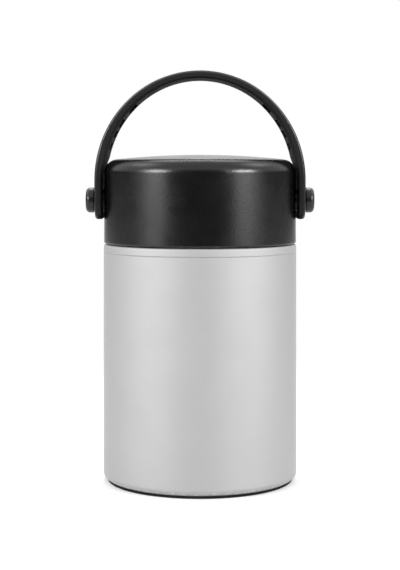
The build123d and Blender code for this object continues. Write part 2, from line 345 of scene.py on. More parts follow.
def placed(tree, group, **feeds):
    """Put a shader group into a tree with its own values, and give back its output."""
    labels = {name.capitalize(): value for name, value in feeds.items()}
    return add(tree, "ShaderNodeGroup", labels, node_tree=group).outputs[0]


def own_space(tree):
    """Position on the piece itself, in metres, so that a pattern stays put when the piece moves."""
    return add(tree, "ShaderNodeTexCoord").outputs["Object"]


# %% Mould grain
grain, start, end = effect("mould_grain", {"Size": 0.4 * mm}, "Height")
scale = math(grain, "DIVIDE", 1.0, start.outputs["Size"])
spot = own_space(grain)
bumps = add(grain, "ShaderNodeTexNoise", {"Vector": spot, "Scale": scale, "Detail": 3.0, "Roughness": 0.6})
cells = add(grain, "ShaderNodeTexVoronoi", {"Vector": spot, "Scale": scale}, feature="SMOOTH_F1")
height = math(grain, "MULTIPLY", bumps.outputs[0], cells.outputs["Distance"])
grain.links.new(height, end.inputs[0])

# %% Cloudiness
cloud, start, end = effect("cloudiness", {"Size": 20 * mm}, "Mask")
scale = math(cloud, "DIVIDE", 1.0, start.outputs["Size"])
patch = add(cloud, "ShaderNodeTexNoise", {"Vector": own_space(cloud), "Scale": scale, "Detail": 2.0})
cloud.links.new(remap(cloud, patch.outputs[0], 0.3, 0.7), end.inputs[0])

# %% Lathe rings
rings, start, end = effect("lathe_rings", {"Coordinate": 0.0, "Size": 0.2 * mm}, "Height")
turns = math(rings, "DIVIDE", start.outputs["Coordinate"], start.outputs["Size"])
lines = add(rings, "ShaderNodeTexNoise", {"W": turns, "Scale": 1.0, "Detail": 3.0}, noise_dimensions="1D")
rings.links.new(lines.outputs[0], end.inputs[0])

# %% Edge band, for wear and for a painted highlight
wear_highlight_group, start, end = effect("rubbed_edge", {"Coordinate": 0.0, "Edge": 0.0, "Reach": mm}, "Mask")
away = math(wear_highlight_group, "ABSOLUTE", math(wear_highlight_group, "SUBTRACT", start.outputs[0], start.outputs[1]))
near = add(wear_highlight_group, "ShaderNodeMapRange", {0: away, 1: start.outputs[2], 2: 0.0}).outputs[0]
specks = {"Vector": own_space(wear_highlight_group), "Scale": 420.0, "Detail": 4.0, "Roughness": 0.7}
speck = add(wear_highlight_group, "ShaderNodeTexNoise", specks).outputs[0]
wear_highlight_mask = math(wear_highlight_group, "MULTIPLY", near, remap(wear_highlight_group, speck, 0.45, 0.7))
wear_highlight_group.links.new(wear_highlight_mask, end.inputs[0])
print("effects", [tree.name for tree in bpy.data.node_groups])

# %% [markdown]
# ## One finish for each material
# A finish starts from the Principled shader. What is the same all over, such as being metal or not, is set on the
# shader's own sockets. What changes over the surface comes through the effects: the colour drifts a little, the
# roughness drifts with it, and the grain reaches the light only as a bump, because it is finer than any mesh.

# %% Build a finish
finishes = {}


def finish(slot, colour, roughness, drift=0.06, patch=18 * mm, grain_size=0.4 * mm, grain_depth=0.004 * mm, **plain):
    """Material for one slot: colour and roughness drift by a share of themselves, and grain makes a bump."""
    material = bpy.data.materials.new(slot)
    material.use_nodes = True
    tree = material.node_tree
    shader = tree.nodes["Principled BSDF"]
    for name, value in plain.items():
        shader.inputs[name.replace("_", " ")].default_value = value
    mask = placed(tree, cloud, size=patch)
    dark, light = ([*(c * (1 + way * drift) for c in colour), 1.0] for way in (-1, 1))
    tint = add(tree, "ShaderNodeMix", {0: mask, 6: dark, 7: light}, data_type="RGBA")
    tree.links.new(tint.outputs[2], shader.inputs["Base Color"])
    gloss = remap(tree, mask, 0.0, 1.0, roughness * (1 + drift), roughness * (1 - drift))
    tree.links.new(gloss, shader.inputs["Roughness"])
    bump = {"Height": placed(tree, grain, size=grain_size), "Distance": grain_depth}
    tree.links.new(add(tree, "ShaderNodeBump", bump).outputs[0], shader.inputs["Normal"])
    finishes[slot] = material
    print(slot, colour, roughness)
    return tree, shader


def axis(tree, name):
    """One coordinate of the piece's own space."""
    return add(tree, "ShaderNodeSeparateXYZ", {0: own_space(tree)}).outputs[name]


def blend(tree, shader, mask, colour, roughness):
    """Where a mask is 1, change a finish to another colour and roughness."""
    old_colour = shader.inputs["Base Color"].links[0].from_socket
    tint = add(tree, "ShaderNodeMix", {0: mask, 6: old_colour, 7: [*colour, 1.0]}, data_type="RGBA")
    tree.links.new(tint.outputs[2], shader.inputs["Base Color"])
    old_gloss = shader.inputs["Roughness"].links[0].from_socket
    gloss = add(tree, "ShaderNodeMix", {0: mask, 2: old_gloss, 3: roughness}, data_type="FLOAT")
    tree.links.new(gloss.outputs[0], shader.inputs["Roughness"])


def paint_wear_and_highlight(tree, shader, coordinate, edge, reach, colour, roughness):
    """Near an edge, change a finish towards another colour and roughness, in specks. On the steel's foot this is wear,
    and on the lid's bottom edge it is a painted highlight.
    """
    blend(tree, shader, placed(tree, wear_highlight_group, coordinate=coordinate, edge=edge, reach=reach), colour, roughness)


def turn_on_lathe(tree, shader, coordinate, size, depth):
    """Lay fine rings across a finish, over the bump that it has."""
    under = shader.inputs["Normal"].links[0].from_socket
    lines = placed(tree, rings, coordinate=coordinate, size=size)
    bump = add(tree, "ShaderNodeBump", {"Height": lines, "Distance": depth, "Normal": under})
    tree.links.new(bump.outputs[0], shader.inputs["Normal"])


# %% Steels and other metals
def grey(value):
    """A colour without a tint."""
    return (value, value, value)


tree, shader = finish(
    "satin_steel", grey(0.485), roughness=0.72, drift=0.008, patch=16 * mm,
    grain_size=0.3 * mm, grain_depth=0.002 * mm, Metallic=1.0, Coat_Weight=0.6, Coat_Roughness=0.5,
)
paint_wear_and_highlight(
    tree, shader, axis(tree, "Z"),
    edge=base_z + 0.8 * mm, reach=1.6 * mm, colour=grey(0.7), roughness=0.3,
)

tree, shader = finish(
    "vessel_steel", (0.66, 0.66, 0.65), roughness=0.33, drift=0.03, patch=20 * mm,
    grain_size=0.2 * mm, grain_depth=0.0005 * mm, Metallic=1.0,
)
turn_on_lathe(tree, shader, axis(tree, "Z"), size=0.35 * mm, depth=0.002 * mm)

tree, shader = finish(
    "fastener_steel", grey(0.6), roughness=0.26, drift=0.05, patch=3 * mm,
    grain_size=0.2 * mm, grain_depth=0.001 * mm, Metallic=1.0,
)
turn_on_lathe(tree, shader, axis(tree, "X"), size=0.2 * mm, depth=0.004 * mm)

tree, shader = finish(
    "insert_brass", (0.71, 0.55, 0.27), roughness=0.3, drift=0.06, patch=3 * mm,
    grain_size=0.3 * mm, grain_depth=0.002 * mm, Metallic=1.0,
)
turn_on_lathe(tree, shader, axis(tree, "X"), size=0.3 * mm, depth=0.008 * mm)

finish(
    "copper_foil", (0.78, 0.42, 0.27), roughness=0.2, drift=0.05, patch=9 * mm,
    grain_size=5 * mm, grain_depth=0.2 * mm, Metallic=1.0,
)
finish(
    "getter_metal", grey(0.4), roughness=0.5, drift=0.1, patch=1.5 * mm,
    grain_size=0.4 * mm, grain_depth=0.01 * mm, Metallic=1.0,
)

# %% Mouldings, rubbers and the rest
tree, shader = finish(
    "black_plastic", grey(0.003), roughness=0.26, drift=0.08, patch=12 * mm,
    grain_size=0.6 * mm, grain_depth=0.055 * mm,
)
# Painted highlight: a lighter, speckled band along the lid's bottom edge, with the roughness unchanged.
paint_wear_and_highlight(
    tree, shader, axis(tree, "Z"),
    edge=lid_bottom + 0.3 * mm, reach=0.9 * mm, colour=grey(0.03), roughness=0.26,
)

finish(
    "button_plastic", grey(0.008), roughness=0.3, drift=0.08, patch=4 * mm,
    grain_size=0.4 * mm, grain_depth=0.004 * mm,
)
finish(
    "liner_plastic", (0.05, 0.05, 0.052), roughness=0.4, drift=0.06, patch=14 * mm,
    grain_size=0.5 * mm, grain_depth=0.006 * mm,
)
finish(
    "washer_nylon", grey(0.03), roughness=0.45, drift=0.08, patch=3 * mm,
    grain_size=0.3 * mm, grain_depth=0.004 * mm,
)
finish(
    "foot_rubber", grey(0.01), roughness=0.8, drift=0.1, patch=9 * mm,
    grain_size=0.5 * mm, grain_depth=0.02 * mm, Specular_IOR_Level=0.2,
)
finish(
    "silicone", (0.75, 0.75, 0.74), roughness=0.5, drift=0.03, patch=6 * mm,
    grain_size=0.4 * mm, grain_depth=0.004 * mm, Subsurface_Weight=0.2,
)
finish(
    "foam", (0.8, 0.76, 0.62), roughness=0.9, drift=0.06, patch=4 * mm,
    grain_size=1.1 * mm, grain_depth=0.15 * mm,
)
finish(
    "seal_glass", (0.25, 0.27, 0.28), roughness=0.14, drift=0.08, patch=1.5 * mm,
    grain_size=0.5 * mm, grain_depth=0.01 * mm, Transmission_Weight=0.4,
)

# %% [markdown]
# The strap has one plastic but three looks. Its faces are matt. Its outer edge is smoother, and glossy at the grip,
# where hands polish it. Its inner face is as rough as the mould left it, and its pockets are rough and painted near
# black, a painted shade. Painting these by hand would have to be done again after each change of shape, so they follow
# from where a point lies: its depth below the outer face, its height over the spring line, and how far it is across.
#
# The arch is half an ellipse. With its heights stretched until it is half a circle, a point's depth is the circle's
# radius less the point's distance from the middle.

# %% Strap plastic, and the depth of a point
tree, shader = finish(
    "strap_plastic", grey(0.007), roughness=0.6, drift=0.1, patch=10 * mm,
    grain_size=0.6 * mm, grain_depth=0.008 * mm, Specular_IOR_Level=0.26, Coat_Roughness=0.25, Coat_IOR=1.65,
)
over_spring = math(tree, "MAXIMUM", math(tree, "SUBTRACT", axis(tree, "Z"), arch_z), 0.0)
stretched = math(tree, "MULTIPLY", over_spring, strap_reach / arch_rise)
squares = [math(tree, "POWER", value, 2.0) for value in (axis(tree, "X"), stretched)]
depth = math(tree, "SUBTRACT", strap_reach, math(tree, "SQRT", math(tree, "ADD", *squares)))

# %% Smooth outer edge, glossy at the grip
smooth_to, smooth_end = 0.8 * mm, 1.4 * mm
rim_start, rim_full, rim_fades, rim_end = 0.02 * mm, 0.12 * mm, 1.0 * mm, 1.3 * mm
grip_start, grip_full = 17 * mm, 31 * mm

blend(tree, shader, remap(tree, depth, smooth_end, smooth_to), grey(0.007), 0.25)
gloss = overlap(
    tree,
    remap(tree, depth, rim_start, rim_full),
    remap(tree, depth, rim_end, rim_fades),
    remap(tree, stretched, grip_start, grip_full),
)
tree.links.new(gloss, shader.inputs["Coat Weight"])

# %% Rough inner face, and pockets painted dark as shade
rough_full = strap_thickness + 0.3 * mm
pocket_across_full, pocket_across_end = 11.4 * mm, 12.4 * mm
pocket_mouth_full, pocket_mouth_end = strap_thickness + 0.5 * mm, strap_thickness + 0.9 * mm
pocket_floor_end, pocket_floor_full = 1.4 * mm, 1.8 * mm
pocket_height_full, pocket_height_end = 42 * mm, 44 * mm

blend(tree, shader, remap(tree, depth, strap_thickness, rough_full), grey(0.012), 0.85)
# Painted shade: inside the pockets the colour goes nearly black, and the roughness goes up.
painted_pocket_shade = overlap(
    tree,
    remap(tree, math(tree, "ABSOLUTE", axis(tree, "Y")), pocket_across_end, pocket_across_full),
    remap(tree, depth, pocket_mouth_end, pocket_mouth_full),
    remap(tree, depth, pocket_floor_end, pocket_floor_full),
    remap(tree, stretched, pocket_height_end, pocket_height_full),
)
blend(tree, shader, painted_pocket_shade, grey(0.001), 0.95)


# %% Give a new piece its place in the frame
def fit(made, body, slot, *nodes):
    """A finished piece moves with its body, stands for its frame nodes and wears its slot's finish."""
    made.data.materials.append(finishes[slot])
    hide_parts(*nodes)
    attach(made, body)


# %% [markdown]
# ## The jar
# The outer wall is drawn from one sheet of steel: straight sides, a tight curl at the foot, a fine rolled groove just
# under the shoulder, and a neck with one thread ridge rolled into it. Modelling the groove and the ridge by hand would
# take many edge loops. As a change of radius they are one line each, and they stay true at any size.

# %% Thread ridge


def ridge(angle, height, first):
    """Share of a helical ridge's full height. Its middle line climbs one pitch per turn, height = first + pitch x
    turns so far. The share is 1 on the crest, falls in a straight line to 0 at the root, and fades at both ends."""
    share = 0 * (angle + height)
    for lap in range(int(np.ceil(thread_turns))):
        travelled = lap + angle / (2 * np.pi)
        away = np.abs(height - first - thread_pitch * travelled)
        flank = np.clip((thread_root / 2 - away) / (thread_root / 2 - thread_crest / 2), 0, 1)
        fade = np.clip(np.minimum(travelled, thread_turns - travelled) / thread_run_in, 0, 1)
        share = np.maximum(share, flank * fade)
    return share


def neck_ridge(angle, height, radius):
    """Push the outside of the neck out under the ridge."""
    on_neck = np.abs(radius - neck_radius) < same_radius
    return thread_height * ridge(angle, height, neck_thread_start) * on_neck


# %% Outer wall
wall = shell_wall
outer_wall = template(
    (base_opening, base_z, sheet_corner),
    (body_radius, base_z, base_corner),
    (body_radius, groove_z - groove_reach, groove_brow),
    (body_radius - groove_depth, groove_z, groove_bed),
    (body_radius, groove_z + groove_reach, groove_brow),
    (body_radius, shoulder_z, shoulder_corner),
    (neck_radius, shoulder_z, neck_corner),
    (neck_radius, neck_top, 0),
    (neck_radius - wall, neck_top, 0),
    (neck_radius - wall, shoulder_z - wall, neck_corner + wall),
    (body_radius - wall, shoulder_z - wall, shoulder_corner - wall),
    (body_radius - wall, base_z + wall, base_corner - wall),
    (base_opening, base_z + wall, sheet_corner),
    closed=True,
)
thread_step = 0.15 * mm
outer_wall = divided(outer_wall, thread_step, neck_radius)
body_shell = skin("body_shell", turned(outer_wall, neck_ridge))
smooth(body_shell, 40)
fit(body_shell, "jar", "satin_steel", "outer_shell")

# %% Inner vessel
inner = vessel_radius - vessel_wall
floor_bend, hip_bend, throat_bend = 9 * mm, 3 * mm, 2 * mm
lip_edge, mouth_edge = 0.2 * mm, 0.4 * mm
vessel = template(
    (0, vessel_floor, 0),
    (vessel_radius, vessel_floor, floor_bend),
    (vessel_radius, vessel_shoulder, hip_bend),
    (vessel_neck, vessel_shoulder, throat_bend),
    (vessel_neck, lip_z - vessel_wall, sheet_corner),
    (neck_radius, lip_z - vessel_wall, 0),
    (neck_radius, lip_z, lip_edge),
    (mouth_radius, lip_z, mouth_edge),
    (mouth_radius, vessel_shoulder - vessel_wall, throat_bend + vessel_wall),
    (inner, vessel_shoulder - vessel_wall, hip_bend - vessel_wall),
    (inner, vessel_floor + vessel_wall, floor_bend - vessel_wall),
    (0, vessel_floor + vessel_wall, 0),
)
food_vessel = skin("food_vessel", turned(vessel))
smooth(food_vessel, 40)
fit(food_vessel, "jar", "vessel_steel", "inner_vessel")

# %% [markdown]
# Under the jar sits a rubber pad that keeps it from sliding. Its middle is raised, so that it stands on a ring, and
# the ring has two shallow grooves that let water out from under it.

# %% Foot pad
pad_radius, ring_width = pad_high.x, 15 * mm
ring_inner = pad_radius - ring_width
recess, recess_corner, ring_corner, pad_corner = 0.4 * mm, 0.2 * mm, 0.15 * mm, 0.35 * mm
tread = [pad_radius - 10 * mm, pad_radius - 5 * mm]
tread_half, tread_depth, tread_corner = 0.5 * mm, 0.25 * mm, 0.1 * mm
tread_outline = ((-1, 0), (-0.6, tread_depth), (0.6, tread_depth), (1, 0))
grooves = [(middle + way * tread_half, depth, tread_corner) for middle in tread for way, depth in tread_outline]
pad = template(
    (0, recess, 0),
    (ring_inner - recess, recess, recess_corner),
    (ring_inner, 0, ring_corner),
    *grooves,
    (pad_radius, 0, pad_corner),
    (pad_radius, pad_high.z, pad_corner),
    (0, pad_high.z, 0),
)
rubber_foot = skin("rubber_foot", turned(pad))
smooth(rubber_foot, 40)
fit(rubber_foot, "jar", "foot_rubber", "foot_pad")

# %% [markdown]
# ## The lid
# The cover is a deep moulded cap. Its top is a very shallow dome, which sheds water and doesn't sink as it cools in
# the mould, and a large round edge leads into the straight side. The dome is part of a sphere, and the edge is an arc
# that touches both the sphere and the side, so light runs over the lid without a break.

# %% Dome and rounded edge
cap_points, edge_points = 28, 22


def dome(radius, top, corner):
    """Template from the axis to the side. The sphere's radius is (radius^2 + crown^2) / (2 crown). The edge's arc has
    its middle one corner radius inside the side and inside the sphere, so it touches both."""
    ball = (radius**2 + lid_crown**2) / (2 * lid_crown)
    tilt = np.arcsin((radius - corner) / (ball - corner))
    middle_z = top - ball + (ball - corner) * np.cos(tilt)
    cap = np.linspace(0, tilt, cap_points)
    edge = np.linspace(tilt, np.pi / 2, edge_points)[1:]
    sphere = np.stack([ball * np.sin(cap), top - ball + ball * np.cos(cap)], axis=1)
    arc = np.stack([radius - corner + corner * np.sin(edge), middle_z + corner * np.cos(edge)], axis=1)
    return np.vstack([sphere, arc, arc[-1:] - [[0, support]]])


# %% Lid cover
outside = dome(lid_radius, lid_top, lid_corner)
inside = dome(lid_upper_bore, lid_top - lid_wall, lid_corner - lid_wall)
lead_in, ledge_corner, side_step = 0.25 * mm, 0.2 * mm, 1.2 * mm
rim = template(
    (lid_radius, outside[-1, 1], 0),
    (lid_radius, lid_bottom, lid_foot),
    (lid_bore, lid_bottom, lead_in),
    (lid_bore, liner_top, ledge_corner),
    (lid_upper_bore, liner_top, ledge_corner),
    (lid_upper_bore, inside[-1, 1], 0),
)
rim = divided(divided(rim, side_step, lid_radius), side_step, lid_bore)
cover = np.vstack([outside, rim[1:-1], inside[::-1]])
lid_cap = skin("lid_cap", turned(cover))

# %% [markdown]
# Each pivot screw bites into a brass insert, so the cover has a boss inside and a small flat seat outside at each
# pivot. A boss is a turned solid too. A Boolean joins it to the wall and drills it, as the mould's core pins would.

# %% Pivot bosses and their bores
sides = {"left": -1, "right": 1}
seat_radius = washer_high.z - pivot_z
bore_radius = insert_high.z - pivot_z + press_gap
seat_x = cover_high.x
mid_wall = lid_bore + lid_wall / 2
bore_start, bore_end = insert_low.x, seat_x + mm
boss_corner, seat_corner = 0.3 * mm, 0.1 * mm

boss = template(
    (0, boss_end, 0),
    (boss_radius, boss_end, boss_corner),
    (boss_radius, mid_wall, 0),
    (seat_radius, mid_wall, 0),
    (seat_radius, seat_x, seat_corner),
    (0, seat_x, 0),
)
bore = template((0, bore_start, 0), (bore_radius, bore_start, 0), (bore_radius, bore_end, 0), (0, bore_end, 0))
bosses = skin("bosses", *(along_pivot(turned(boss), side) for side in sides.values()))
bores = skin("bores", *(along_pivot(turned(bore), side) for side in sides.values()))
combine(lid_cap, bosses, "UNION")
combine(lid_cap, bores, "DIFFERENCE")
smooth(lid_cap, 35)
fit(lid_cap, "lid", "black_plastic", "lid_cover")

# %% [markdown]
# Inside the cover a separate liner carries the thread and a hollow plug full of foam. Between its skirt and its plug
# lies the sealing ring, which the lip of the jar presses into.

# %% Lid liner


def skirt_ridge(angle, height, radius):
    """Push the inside of the skirt in, under the ridge that runs between the neck's turns."""
    on_skirt = np.abs(radius - skirt_bore) < same_radius
    return -thread_height * ridge(angle, height, lid_thread_start) * on_skirt


gasket_fit = 0.1 * mm
gasket_edge = neck_radius + gasket_fit
plug_corner, inside_corner, skirt_corner, top_corner = 1.5 * mm, 0.3 * mm, 0.4 * mm, 0.2 * mm
liner = template(
    (0, plug_floor, 0),
    (plug_radius, plug_floor, plug_corner),
    (plug_radius, gasket_high.z, 0),
    (gasket_edge, gasket_high.z, 0),
    (gasket_edge, liner_under, 0),
    (skirt_bore, liner_under, inside_corner),
    (skirt_bore, skirt_bottom, skirt_corner),
    (skirt_radius, skirt_bottom, skirt_corner),
    (skirt_radius, liner_top, top_corner),
    (plug_radius - plug_wall, liner_top, top_corner),
    (plug_radius - plug_wall, foam_low.z, 0),
    (0, foam_low.z, 0),
)
liner = divided(liner, thread_step, skirt_bore)
thread_liner = skin("thread_liner", turned(liner, skirt_ridge))
smooth(thread_liner, 40)
fit(thread_liner, "lid", "liner_plastic", "lid_liner")

# %% Sealing ring
middle_z = (gasket_low.z + gasket_high.z) / 2
ring_inside = plug_radius + gasket_fit
lower_corner, upper_corner = 0.4 * mm, 0.3 * mm
notch_depth, notch_reach, notch_corner = 0.4 * mm, 0.35 * mm, 0.15 * mm
seal = template(
    (ring_inside, gasket_low.z, lower_corner),
    (neck_radius, gasket_low.z, lower_corner),
    (neck_radius, middle_z - notch_reach, notch_corner),
    (neck_radius - notch_depth, middle_z, notch_corner),
    (neck_radius, middle_z + notch_reach, notch_corner),
    (neck_radius, gasket_high.z, upper_corner),
    (ring_inside, gasket_high.z, upper_corner),
    closed=True,
)
sealing_ring = skin("sealing_ring", turned(seal))
smooth(sealing_ring, 50)
fit(sealing_ring, "lid", "silicone", "lid_gasket")

# %% [markdown]
# ## The pivot buttons
# A button is a moulded cup that snaps over the screw's head. It stands off the strap on a narrower step, which reads
# as a dark line beside the strap, and then swells to a rounded head with a slightly crowned face.

# %% Buttons
button_radius = button_high.z - pivot_z
button_end = button_high.x
button_start = button_low.x
button_step = button_start + 0.9 * mm
button_neck = button_radius - 0.6 * mm
hollow_radius = screw_high.z - pivot_z + press_gap
hollow_end = screw_high.x
crown, face_edge, face_points = 0.45 * mm, 2.2 * mm, 10
head_corner, step_corner, neck_foot, mouth_corner = 2.1 * mm, 0.25 * mm, 0.1 * mm, 0.15 * mm

ball = (button_radius**2 + crown**2) / (2 * crown)
reach = np.linspace(0, button_radius - face_edge, face_points)
face = np.stack([reach, button_end - ball + np.sqrt(ball**2 - reach**2)], axis=1)
cup = template(
    tuple(face[-1]) + (0,),
    (button_radius, button_end - crown, head_corner),
    (button_radius, button_step, step_corner),
    (button_neck, button_step, mouth_corner),
    (button_neck, button_start, neck_foot),
    (hollow_radius, button_start, mouth_corner),
    (hollow_radius, hollow_end, 0),
    (0, hollow_end, 0),
)
button = np.vstack([face[:-1], cup])
for word, side in sides.items():
    knob = skin("button_" + word, along_pivot(turned(button), side))
    smooth(knob, 40)
    fit(knob, "lid", "button_plastic", "pivot_button_" + word)

# %% [markdown]
# ## The strap handle
# The strap is a bent bar of moulded plastic: two straight legs under half an ellipse, 30 mm wide at the pivots and
# narrower at the grip. A raised pad runs along its inner face, with four pockets cored out of each leg, where thick
# plastic would sink. A curve with a bevel could follow the arch, but not narrow it, round its tails and sink pockets.
#
# So the strap is drawn flat first, as a plate with rounded tails, and then bent. Every point has three numbers: how
# far along the strap it is, how far across, and how deep below the outer face.

# %% Bend a flat plate into the arch
path_scale = (strap_reach + arch_rise) / 2
path_length = 2 * leg_length + np.pi * path_scale


def bent(path, across, depth):
    """Point of the arch. Along a leg, x = half and z drops with the path. Over the arch, x = half cos(turn) and
    z = spring line + rise sin(turn). Half and rise are the outer ellipse's, less the depth."""
    turn = np.clip((path - leg_length) / path_scale, 0, np.pi)
    drop = np.maximum(leg_length - path, 0) + np.maximum(path - path_length + leg_length, 0)
    x = (strap_reach - depth) * np.cos(turn)
    z = arch_z + (arch_rise - depth) * np.sin(turn) - drop
    return np.stack(np.broadcast_arrays(x, across, z), axis=-1)


taper, taper_height = 2 * mm, arch_rise + 5 * mm


def half_width(path):
    """Half the strap's width: full on the legs, then less by a fixed share of the height over the spring line."""
    over = np.maximum(bent(path, 0 * path, 0 * path)[..., 2] - arch_z, 0)
    return strap_half_width - taper * over / taper_height


# %% Rows along the strap
tail, tail_points = 9.0 * mm, 14
coarse_step, fine_step = 1.0 * mm, 0.34 * mm
column_count = 83


def even(start, stop, step):
    """Evenly spaced numbers from start up to stop, at most step apart, without the last."""
    return np.linspace(start, stop, int(np.ceil((stop - start) / step)), endpoint=False)


fine_from, fine_to, halfway = leg_length + 10 * mm, leg_length + 48 * mm, path_length / 2
spans = [(tail, fine_from, coarse_step), (fine_from, fine_to, fine_step), (fine_to, halfway, coarse_step)]
half_path = np.concatenate([even(*span) for span in spans])
middle_rows = np.concatenate([half_path, [halfway], path_length - half_path[::-1]])
tail_turn = np.linspace(0, np.pi / 2, tail_points, endpoint=False)
base = np.concatenate([0 * tail_turn + tail, middle_rows, 0 * tail_turn + path_length - tail])
turn = np.concatenate([tail_turn, 0 * middle_rows + np.pi / 2, tail_turn[::-1]])
end_sign = np.concatenate([0 * tail_turn + 1, 0 * middle_rows, 0 * tail_turn - 1])
columns = np.linspace(-1, 1, column_count)
print(len(base), "rows by", len(columns), "columns")


def plate(row, column, inset):
    """Path and across of a point of the plate's outline or face, drawn in by inset. Round a tail's corner, the path
    stops short of the corner's start by (tail - inset) cos(turn) and the half width is less by (tail - inset)
    (1 - sin(turn))."""
    corner = tail - inset
    path = base[row] - end_sign[row] * corner * np.cos(turn[row])
    half = half_width(base[row]) - tail + corner * np.sin(turn[row])
    return path, columns[column] * half


# %% The inner face, with its raised pad and its pockets
pad_rise, pad_crown_rise = 1.3 * mm, 0.5 * mm
pad_setback, pad_edge = 1.2 * mm, 0.25 * mm
pad_foot_z, pad_full_z = pivot_z + 14 * mm, pivot_z + 21.75 * mm

# Each pocket: degrees up the arch from the spring line, length along the strap and width across it, both in mm.
pockets = [(20.5, 3.2, 14), (28.3, 3.7, 17), (35.7, 4.1, 19), (46.8, 5.2, 21)]
pocket_depth, pocket_corner, draft = 2.0 * mm, 0.7 * mm, 0.18 * mm


def step_up(distance, reach):
    """0 below -reach, 1 above reach, and 3t^2 - 2t^3 between."""
    t = np.clip(distance / (2 * reach) + 0.5, 0, 1)
    return t * t * (3 - 2 * t)


def inner_depth(path, across):
    """Depth of the inner face: the strap's thickness, more on the pad, and less in a pocket. The pad's rise changes
    from leg to crown with the square of the height over the spring line, and slopes away at its foot. A pocket is a
    rounded rectangle: its edge is one corner radius away from a smaller rectangle."""
    x, _, z = np.moveaxis(bent(path, across, 0 * path + strap_thickness), -1, 0)
    crown = np.clip((z - arch_z) / (arch_rise - strap_thickness), 0, 1) ** 2
    rise = pad_rise + (pad_crown_rise - pad_rise) * crown
    rise = rise * np.clip((z - pad_foot_z) / (pad_full_z - pad_foot_z), 0, 1)
    from_side = half_width(path) - pad_setback - np.abs(across)
    depth = strap_thickness + rise * step_up(from_side, pad_edge)
    for degrees, length, width in pockets:
        angle, length, width = np.radians(degrees), length * mm, width * mm
        along = (z - arch_z) * np.cos(angle) - np.abs(x) * np.sin(angle)
        past_end = np.maximum(np.abs(across) - width / 2 + pocket_corner, 0)
        past_side = np.maximum(np.abs(along) - length / 2 + pocket_corner, 0)
        inside = pocket_corner - np.hypot(past_end, past_side)
        depth = depth - pocket_depth * step_up(inside, draft)
    return depth


# %% Skin the strap
outer_edge, inner_edge, edge_points = 1.2 * mm, 0.5 * mm, 6
rows = np.arange(len(base))[:, None]
cols = np.arange(len(columns))[None, :]
path, across = plate(rows, cols, outer_edge)
outer_face = bent(path, across, 0 * across)
path, across = plate(rows, cols, inner_edge)
path = path + 0 * across
inner_face = bent(path, across, inner_depth(path, across))

last_row, last_column = len(base) - 1, len(columns) - 1
up, over = rows[:, 0], cols[0]
rim_rows = np.concatenate([up, 0 * over[1:-1] + last_row, up[::-1], 0 * over[1:]])
rim_cols = np.concatenate([0 * up + last_column, over[-2:0:-1], 0 * up, over[1:]])
quarter = np.linspace(0, np.pi / 2, edge_points)
near_side, far_side = 1 - np.sin(quarter), 1 - np.cos(quarter)
inset = np.concatenate([outer_edge * near_side, inner_edge * far_side])[:, None]
depth = np.concatenate([outer_edge * far_side, strap_thickness - inner_edge * near_side])[:, None]
path, across = plate(rim_rows[None, :], rim_cols[None, :], inset)
rim = bent(path, across, depth)
strap = skin("strap", outer_face, inner_face, rim)

# %% Bore the strap's eyes
eye_radius = bush_high.z - pivot_z + press_gap
eye_end = strap_reach + mm
eye = template((0, -eye_end, 0), (eye_radius, -eye_end, 0), (eye_radius, eye_end, 0), (0, eye_end, 0))
combine(strap, skin("eyes", along_pivot(turned(eye), 1)), "DIFFERENCE")
smooth(strap, 50)
fit(strap, "handle", "strap_plastic", "handle_strap")

# %% [markdown]
# ## The pieces that stay
# The hidden hardware already has its right shape in the frame: foil, base plate, seal, getter, foam, inserts, screws,
# washers and bushes. Each only takes its finish.

# %% Finish the frame's own pieces
kept = {
    "reflective_foil": "copper_foil",
    "base_cap": "vessel_steel",
    "vacuum_seal": "seal_glass",
    "getter_capsule": "getter_metal",
    "lid_foam": "foam",
}
for word in sides:
    kept["pivot_insert_" + word] = "insert_brass"
    kept["pivot_screw_" + word] = "fastener_steel"
    kept["pivot_washer_" + word] = "washer_nylon"
    kept["pivot_bush_" + word] = "fastener_steel"
for name, slot in kept.items():
    for material_slot in frame["nodes"][name].material_slots:
        material_slot.material = finishes[slot]
print(len(kept), "pieces keep their shape")

# %% [markdown]
# ## The studio
# A satin cylinder shows the room that it stands in, and a black lid shows only what is bright. In front, at each side,
# a narrow strip light draws the short bright line on the lid's round edge, and a large weak box below it lays a broad
# band down each flank. One bright large box could do both, but it would also glare in the lid's top from behind. Two
# boxes high at the sides light the borders of the steel, and two behind light the lid's top.
#
# Black plastic also needs something dark to show: a card behind the camera keeps the middle of the lid black, and a
# curtain at each side does the same for its borders. White all round fills the rest. That white comes from the
# world's colour and the floor's, and not from more light on the jar.

# %% Floor
near_reach, far_reach, half_reach, floor_reach, floor_points = 0.16, 0.5, 2.0, 6.0, 97
angle = np.linspace(0, 2 * np.pi, floor_points)[None, :]
reach = np.array([0, near_reach, far_reach, half_reach, floor_reach])[:, None]
floor = skin("floor", np.stack([reach * np.cos(angle), reach * np.sin(angle), 0 * reach * angle], axis=-1))

# %% [markdown]
# The camera has to see a white floor with the jar's shadow on it, and the jar has to be lit by a plain pale one. So
# the floor is paper near the jar, where the shadow falls, and turns into plain white light further out. Only the
# camera sees that. What the jar mirrors has a weak glow, and the light that the floor throws back is a grey paper's.

# %% Pale paper
near_glow, far_glow, mirrored_glow = 0.15, 1.0, 0.3
near_white, far_white, unseen_white = 0.9, 0.0, 0.6

